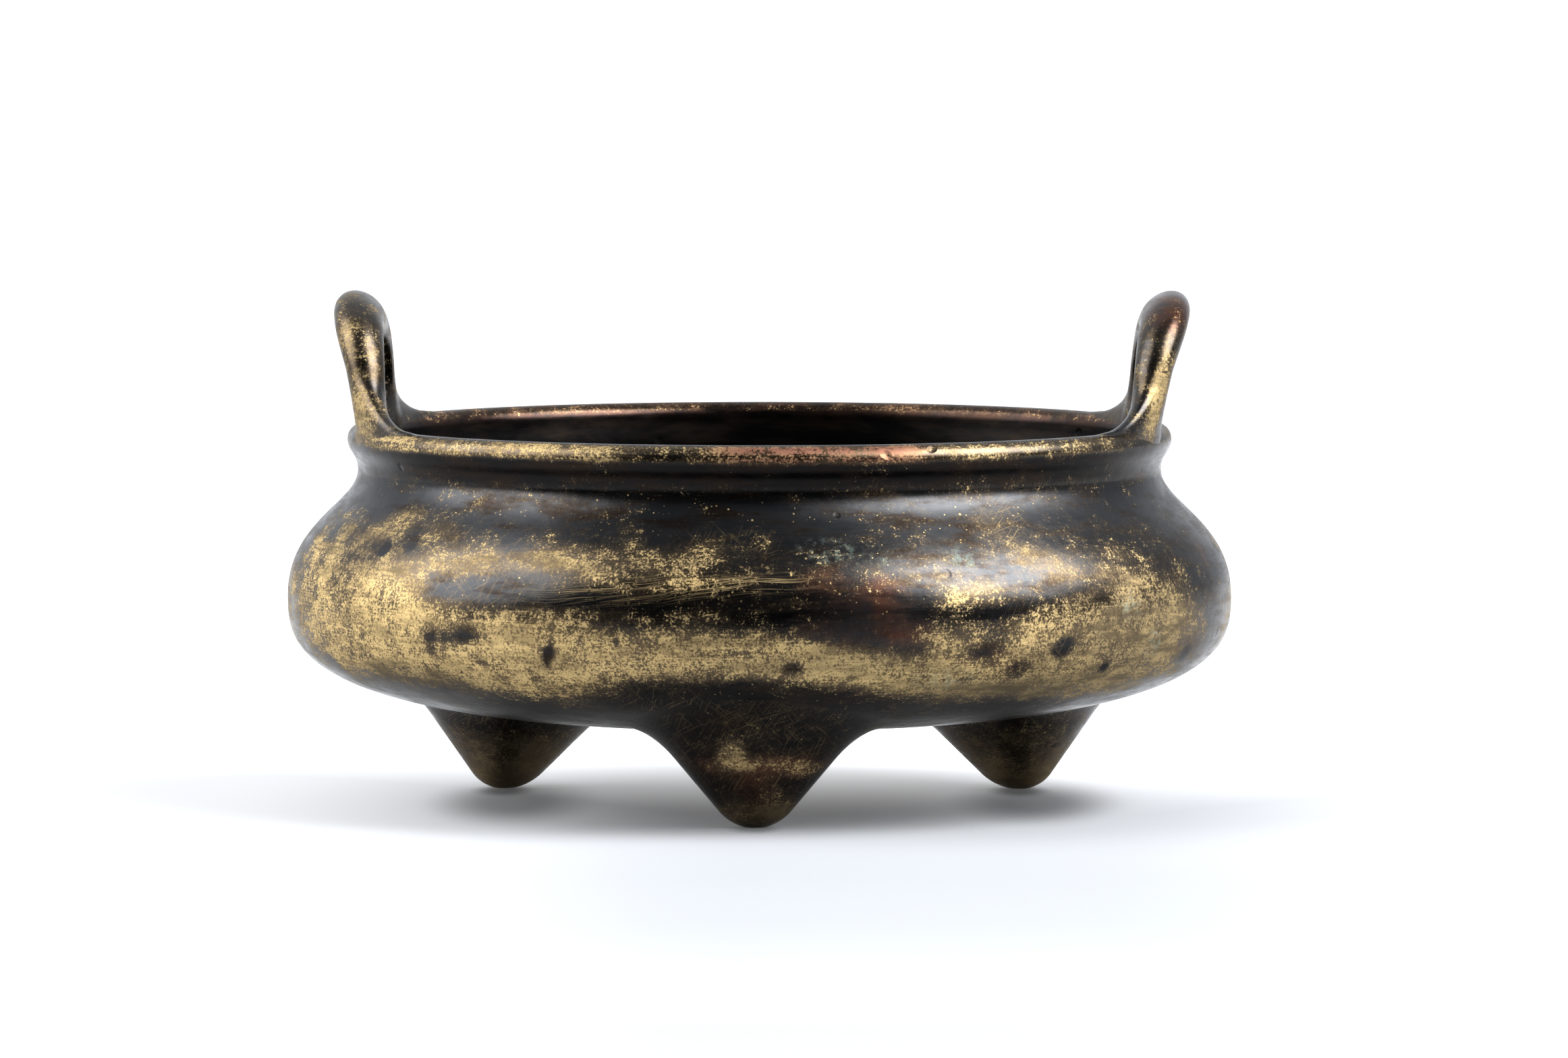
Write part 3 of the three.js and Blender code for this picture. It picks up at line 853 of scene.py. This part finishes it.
def patinatedBronze(name):
    material = bpy.data.materials.new(name)
    material.use_nodes = True
    tree = material.node_tree
    shader = tree.nodes["Principled BSDF"]
    v = bronzeValues
    colour = {key: srgbToLinear(value) for key, value in v.items() if isinstance(value, str)}
    place = addNode(tree, "TexCoord").node.outputs["Object"]
    mask = {}
    for key in maskNames:
        mask[key] = addNode(tree, "Attribute", {"attribute_name": key}).node.outputs["Fac"]

    # The ragged edge of the rubbed places is the painted wear plus grains of every size
    uneven = -(sum(values[3] for values in grainValues.values()) + v["driftShare"]) / 2
    look = {}
    for key, (size, detail, roughness, share) in grainValues.items():
        look[key] = addNode(tree, "TexNoise", {}, {
            "Vector": place, "Scale": 1 / (size * mm), "Detail": detail, "Roughness": roughness})
        uneven = addNode(tree, "Math", {"operation": "MULTIPLY_ADD"}, {0: look[key], 1: share, 2: uneven})
    for key, (*sizes, detail) in streakValues.items():
        drawn = addNode(tree, "Mapping", {}, {"Vector": place, "Scale": [1 / (size * mm) for size in sizes]})
        look[key] = addNode(tree, "TexNoise", {}, {
            "Vector": drawn, "Scale": 1, "Detail": detail, "Roughness": v["streakRoughness"]})
    uneven = addNode(tree, "Math", {"operation": "MULTIPLY_ADD"}, {
        0: look["drift"], 1: v["driftShare"], 2: uneven})
    level = addNode(tree, "Math", {"operation": "MULTIPLY_ADD"}, {
        0: look["clouds"], 1: v["cloudShare"], 2: mask["wear"]})
    level = addNode(tree, "Math", {"operation": "SUBTRACT"}, {0: level, 1: v["cloudShare"] / 2})
    film = addNode(tree, "Math", {"operation": "MULTIPLY_ADD"}, {
        0: uneven, 1: v["grit"] * v["filmGrit"], 2: level})
    total = addNode(tree, "Math", {"operation": "MULTIPLY_ADD"}, {0: uneven, 1: v["grit"], 2: level})
    total = addNode(tree, "Math", {"operation": "MULTIPLY_ADD"}, {
        0: look["lines"], 1: v["linesShare"], 2: total})
    total = addNode(tree, "Math", {"operation": "SUBTRACT"}, {0: total, 1: v["linesShare"] / 2})
    polish = total
    for key, share in (("grain", v["polishGrain"]), ("lines", v["polishLines"])):
        polish = addNode(tree, "Math", {"operation": "MULTIPLY_ADD"}, {0: look[key], 1: share, 2: polish})
    sources = {
        "rubbed": total, "film": film, "polish": polish, "redness": look["mottle"], "browned": look["drift"],
        "oldWax": look["drift"], "greened": look["specks"], "roughness": look["drift"]}
    for key, (start, end, atStart, atEnd) in rampValues.items():
        look[key] = addNode(tree, "MapRange", {"interpolation_type": "SMOOTHSTEP"}, {
            "Value": sources[key], "From Min": start, "From Max": end, "To Min": atStart, "To Max": atEnd})

    # Scratches through to the brass, bent a little, and specks
    bend = addNode(tree, "TexNoise", {}, {
        "Vector": place, "Scale": 1 / (v["bendSize"] * mm), "Detail": 1}).node
    bent = addNode(tree, "VectorMath", {"operation": "MULTIPLY_ADD"}, {
        0: bend.outputs["Color"], 1: [v["bend"] * mm] * 3, 2: place})
    bare = 0.0
    for length, width, tilt, cut, keep, strength in strokeValues.values():
        turned = addNode(tree, "Mapping", {"vector_type": "TEXTURE"}, {
            "Vector": bent, "Rotation": (0, math.radians(-tilt), 0),
            "Scale": (length * mm, length * mm, width * mm), "Location": (length, tilt * mm, 0)})
        stroke = addNode(tree, "TexNoise", {}, {"Vector": turned, "Scale": 1, "Detail": 1})
        stroke = addNode(tree, "MapRange", {}, {
            "Value": stroke, "From Min": cut, "From Max": cut + v["strokeEdge"], "To Max": strength})
        kept = addNode(tree, "Math", {"operation": "MULTIPLY"}, {0: stroke, 1: mask[keep]})
        bare = addNode(tree, "Math", {"operation": "MAXIMUM"}, {0: kept, 1: bare})
    speckStart, speckEnd = v["speckEdge"]
    for key, (spacing, size, share, strength, keep) in speckValues.items():
        shifted = addNode(tree, "Mapping", {}, {"Vector": place, "Location": (spacing, size, 0)})
        cells = addNode(tree, "TexVoronoi", {}, {"Vector": shifted, "Scale": 1 / (spacing * mm)}).node
        pick = addNode(tree, "SeparateColor", {}, {"Color": cells.outputs["Color"]}).node
        edge = addNode(tree, "Math", {"operation": "MULTIPLY_ADD"}, {
            0: pick.outputs["Green"], 1: -size / spacing, 2: cells.outputs["Distance"]})
        spot = addNode(tree, "MapRange", {}, {"Value": edge, "From Min": speckStart, "From Max": speckEnd})
        chosen = addNode(tree, "Math", {"operation": "GREATER_THAN"}, {0: pick.outputs["Red"], 1: 1 - share})
        spot = addNode(tree, "Math", {"operation": "MULTIPLY"}, {0: spot, 1: chosen})
        if keep:
            spot = addNode(tree, "Math", {"operation": "MULTIPLY"}, {0: spot, 1: mask[keep]})
            bare = addNode(tree, "Math", {"operation": "MAXIMUM"}, {0: spot, 1: bare})
        look[key] = spot
    for key in ("rubbed", "polish"):
        look[key] = addNode(tree, "Math", {"operation": "MAXIMUM"}, {0: look[key], 1: bare})
    for key in ("stains", "pepper"):
        stained = addNode(tree, "Math", {"operation": "MULTIPLY_ADD"}, {
            0: look[key], 1: speckValues[key][3], 2: 1.0})
        look["rubbed"] = addNode(tree, "Math", {"operation": "MULTIPLY"}, {0: look["rubbed"], 1: stained})

    # Colours, mixed in layers from the patina up
    for key, operation, painted in (
            ("redness", "MULTIPLY", "red"), ("greened", "MULTIPLY", "green"), ("oldWax", "ADD", "dulled")):
        look[key] = addNode(tree, "Math", {"operation": operation, "use_clamp": True}, {
            0: look[key], 1: mask[painted]})
    metalLook = colour["brassDeep"]
    for factor, layer in (
            (look["polish"], "brass"), (look["oldWax"], "dulled"), (mask["copper"], "copper")):
        metalLook = addNode(tree, "Mix", {"data_type": "RGBA"}, {0: factor, 6: metalLook, 7: colour[layer]})
    layers = (
        # Lighter patina where the mask says, the darker one elsewhere: under the belly, in the neck, inside
        # and on the feet
        (mask["lighterPatina"], colour["patinaLighter"]),
        (look["browned"], colour["patinaBrown"]),
        (look["film"], colour["halfRubbed"]),
        (look["redness"], colour["patinaRed"]),
        (look["rubbed"], metalLook),
        (look["greened"], colour["verdigris"]),
    )
    base = colour["patina"]
    for factor, layer in layers:
        base = addNode(tree, "Mix", {"data_type": "RGBA"}, {0: factor, 6: base, 7: layer})
    tree.links.new(base, shader.inputs["Base Color"])
    metal = addNode(tree, "MapRange", {}, {
        "Value": look["greened"], "From Max": v["verdigrisFull"], "To Min": 1.0, "To Max": 0.0})
    tree.links.new(metal, shader.inputs["Metallic"])
    roughness = look["roughness"]
    for key, share in roughnessValues.items():
        roughness = addNode(tree, "Math", {"operation": "MULTIPLY_ADD"}, {
            0: look[key] if key in look else mask[key], 1: share, 2: roughness})
    tree.links.new(roughness, shader.inputs["Roughness"])
    shader.inputs["Specular Tint"].default_value = colour["edgeTint"]

    # The cast and hand-finished surface
    look["rubbedGrain"] = addNode(tree, "Math", {"operation": "MULTIPLY"}, {
        0: look["grain"], 1: look["rubbed"]})
    look["nicks"] = 0.0
    for x, z, halfWide, halfHigh, tilt in nickValues.values():
        local = addNode(tree, "Mapping", {"vector_type": "TEXTURE"}, {
            "Vector": place, "Location": (x * mm, nickPlane["y"] * mm, z * mm),
            "Rotation": (0, math.radians(tilt), 0),
            "Scale": (halfWide * mm, nickPlane["halfDepth"] * mm, halfHigh * mm)})
        nick = addNode(tree, "TexGradient", {"gradient_type": "SPHERICAL"}, {"Vector": local}).node
        look["nicks"] = addNode(tree, "Math", {"operation": "ADD"}, {
            0: nick.outputs["Fac"], 1: look["nicks"]})
    height = 0.0
    for key, depth in reliefValues.items():
        height = addNode(tree, "Math", {"operation": "MULTIPLY_ADD"}, {0: look[key], 1: depth, 2: height})
    bump = addNode(tree, "Bump", {}, {"Strength": 1.0, "Distance": mm, "Height": height})
    tree.links.new(bump, shader.inputs["Normal"])
    return material


bronze = patinatedBronze("castBronzePatinated")
dressing = [
    (bowl, "bowl", "bowl_bronze"),
    (handleRight, "handle_right", "handle_bronze"),
    (handleLeft, "handle_left", "handle_bronze"),
    (footFront, "foot_front", "foot_bronze"),
    (footRearRight, "foot_rear_right", "foot_bronze"),
    (footRearLeft, "foot_rear_left", "foot_bronze"),
]
for piece, node, slotName in dressing:
    piece.data.materials.clear()
    piece.data.materials.append(bronze)
    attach(piece, "root")
    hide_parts(node)
print("Castings dressed")

# Floor of white paper, lit by the lamps and the room. It also glows: painted light standing in for more room
# light all round, less and less towards the burner that stands on it, which paints the burner's shadow.
# Each glow runs from one place to another along its axis, and gives its strength there
floorValues = {
    "size": 60,
    "paper": "94979c",
    "roughness": 0.8,
    "glow": 0.095,
    "glows": {
        "back": ("Y", -0.04, 0.13, 0.8),
        "left": ("X", 0.0, -0.085, 0.4),
        "right": ("X", 0.05, 0.13, 0.3),
    },
    "shadeCore": 0.8,
}

# Painted shade on the paper, darkening its colour and its glow: by the feet, where the glow would drown
# their shadows, and faintly over the near floor. Middle x and y, half lengths in x and y in millimetres,
# strength
shadeValues = {
    "rearLeft": (-39.2, -4.0, 16, 50, 0.62),
    "rearRight": (43.6, -4.0, 16, 50, 0.62),
    "tipLeft": (-41.4, 18.0, 6, 14, 0.7),
    "tipRight": (41.4, 18.0, 6, 14, 0.7),
    "tipFront": (0.0, -52.0, 5, 10, 0.5),
    "foreground": (0.0, -170.0, 500, 130, 0.12),
}
bpy.ops.object.select_all(action="DESELECT")
bpy.ops.mesh.primitive_plane_add(size=floorValues["size"], location=(0, 0, 0))
floor = bpy.context.object
floor.name = "studioFloor"
paper = bpy.data.materials.new("whitePaper")
paper.use_nodes = True
paperTree = paper.node_tree
paperShader = paperTree.nodes["Principled BSDF"]
paperShader.inputs["Roughness"].default_value = floorValues["roughness"]
paperShader.inputs["Emission Color"].default_value = (1, 1, 1, 1)
paperPlace = addNode(paperTree, "TexCoord").node.outputs["Object"]
paperSplit = addNode(paperTree, "SeparateXYZ", {}, {"Vector": paperPlace}).node
# The paper's glow, painted light: the glows above, and an even share everywhere
glow = 0.0
for axis, start, end, strength in floorValues["glows"].values():
    part = addNode(paperTree, "MapRange", {"interpolation_type": "SMOOTHSTEP"}, {
        "Value": paperSplit.outputs[axis], "From Min": start, "From Max": end, "To Max": strength})
    glow = addNode(paperTree, "Math", {"operation": "MAXIMUM"}, {0: part, 1: glow})
glow = addNode(paperTree, "Math", {"operation": "ADD"}, {0: glow, 1: floorValues["glow"]})
# The painted shade, on the paper's colour as well as its glow
lit = 1.0
for x, y, halfX, halfY, strength in shadeValues.values():
    spot = addNode(paperTree, "Mapping", {"vector_type": "TEXTURE"}, {
        "Vector": paperPlace, "Location": (x * mm, y * mm, 0), "Scale": (halfX * mm, halfY * mm, 1)})
    spot = addNode(paperTree, "TexGradient", {"gradient_type": "SPHERICAL"}, {"Vector": spot}).node
    shade = addNode(paperTree, "MapRange", {"interpolation_type": "SMOOTHSTEP"}, {
        "Value": spot.outputs["Fac"], "From Max": floorValues["shadeCore"],
        "To Min": 1.0, "To Max": 1 - strength})
    lit = addNode(paperTree, "Math", {"operation": "MULTIPLY"}, {0: shade, 1: lit})
glow = addNode(paperTree, "Math", {"operation": "MULTIPLY"}, {0: glow, 1: lit})
shaded = addNode(paperTree, "Mix", {"data_type": "RGBA"}, {
    0: lit, 6: (0, 0, 0, 1), 7: srgbToLinear(floorValues["paper"])})
paperTree.links.new(shaded, paperShader.inputs["Base Color"])
paperTree.links.new(glow, paperShader.inputs["Emission Strength"])
floor.data.materials.append(paper)

# A white studio: a bright backdrop, a dim ceiling, and a dark side where the camera stands. Each
# ramp follows the direction looked in: its axis, from and to, and its strength there
worldValues = {
    "white": "f4f8ff",
    "ceiling": ("Z", 0.55, 0.95, 0.045, 0.34),
    "side": ("X", -0.2, 0.8, 1.0, 0.62),
    "backdrop": ("Y", -0.1, 0.35, 0.0, 1.25),
}
world = bpy.data.worlds.new("studio")
bpy.context.scene.world = world
world.use_nodes = True
worldTree = world.node_tree
background = worldTree.nodes["Background"]
worldPlace = addNode(worldTree, "TexCoord").node.outputs["Generated"]
worldSplit = addNode(worldTree, "SeparateXYZ", {}, {"Vector": worldPlace}).node
ramps = {}
for key in ("ceiling", "side", "backdrop"):
    axis, start, end, atStart, atEnd = worldValues[key]
    ramps[key] = addNode(worldTree, "MapRange", {"interpolation_type": "SMOOTHSTEP"}, {
        "Value": worldSplit.outputs[axis], "From Min": start, "From Max": end,
        "To Min": atStart, "To Max": atEnd})
backdrop = addNode(worldTree, "Math", {"operation": "MULTIPLY"}, {0: ramps["backdrop"], 1: ramps["side"]})
seen = addNode(worldTree, "LightPath").node.outputs["Is Camera Ray"]
room = addNode(worldTree, "Math", {"operation": "MAXIMUM"}, {0: ramps["ceiling"], 1: backdrop})
room = addNode(worldTree, "Mix", {}, {0: seen, 2: room, 3: 1.0})
worldTree.links.new(room, background.inputs["Strength"])
background.inputs["Color"].default_value = srgbToLinear(worldValues["white"])

# Lights: the direction they shine from, distance, width, height, brightness, and the share of the half
# width over which they fade. A light without a fade is flagged off the bronze and only lights the floor
lightValues = {
    "leftBox": ((-0.80, -0.08, 0.54), 1.4, 1.8, 1.8, 6.4, 0.6),
    "rightBox": ((0.64, -0.23, 0.62), 1.4, 1.7, 1.5, 19.0, 0.7),
    "topSilk": ((0, -0.5, 1), 2.0, 6.0, 6.0, 0.3, 0),
}
for name, (source, far, wide, high, bright, fading) in lightValues.items():
    direction = Vector(source).normalized() * far
    bpy.ops.object.light_add(type="AREA", location=direction)
    light = bpy.context.object
    light.name = name
    light.data.shape = "RECTANGLE"
    light.data.size = wide
    light.data.size_y = high
    light.data.energy = bright * math.pi * wide * high
    light.rotation_euler = (-direction).to_track_quat("-Z", "Y").to_euler()
    light.visible_glossy = fading > 0
    if fading > 0:
        light.data.use_nodes = True
        lightTree = light.data.node_tree
        across = addNode(lightTree, "NewGeometry").node.outputs["Parametric"]
        centred = addNode(lightTree, "Mapping", {}, {
            "Vector": across, "Location": (-1, -1, 0), "Scale": (2, 2, 0)})
        ball = addNode(lightTree, "TexGradient", {"gradient_type": "SPHERICAL"}, {"Vector": centred}).node
        faded = addNode(lightTree, "MapRange", {"interpolation_type": "SMOOTHSTEP"}, {
            "Value": ball.outputs["Fac"], "From Max": fading})
        lightTree.links.new(faded, lightTree.nodes["Emission"].inputs["Strength"])

# A low black flag in front, where the bright table would otherwise show in the belly
flagValues = {"place": (0, -0.34, 0.04), "wide": 3.0, "high": 0.08, "felt": "050505"}
bpy.ops.object.select_all(action="DESELECT")
bpy.ops.mesh.primitive_plane_add(size=1, location=flagValues["place"], rotation=(math.pi / 2, 0, 0))
flag = bpy.context.object
flag.name = "studioFlag"
flag.scale = (flagValues["wide"], flagValues["high"], 1)
bpy.ops.object.transform_apply(location=True, rotation=True, scale=True)
felt = bpy.data.materials.new("blackFelt")
felt.use_nodes = True
feltShader = felt.node_tree.nodes["Principled BSDF"]
feltShader.inputs["Base Color"].default_value = srgbToLinear(flagValues["felt"])
feltShader.inputs["Roughness"].default_value = 1.0
feltShader.inputs["Specular IOR Level"].default_value = 0.0
flag.data.materials.append(felt)
flag.visible_camera = False
flag.visible_shadow = False
flag.visible_diffuse = False

# Camera, in millimetres as the casting is
cameraValues = {
    "place": (28.6, -1928.4, 166.5),
    "aim": (3.9, 0.08, 43.3),
    "lens": 279.0,
    "sensor": 36.0,
    "farthest": 100,
}
bpy.ops.object.camera_add(location=[c * mm for c in cameraValues["place"]])
camera = bpy.context.object
aim = Vector(cameraValues["aim"]) * mm - camera.location
camera.rotation_euler = aim.to_track_quat("-Z", "Y").to_euler()
camera.data.lens = cameraValues["lens"]
camera.data.sensor_width = cameraValues["sensor"]
camera.data.clip_end = cameraValues["farthest"]
bpy.context.scene.camera = camera
bpy.context.scene.view_settings.view_transform = "Standard"
print("Studio ready")
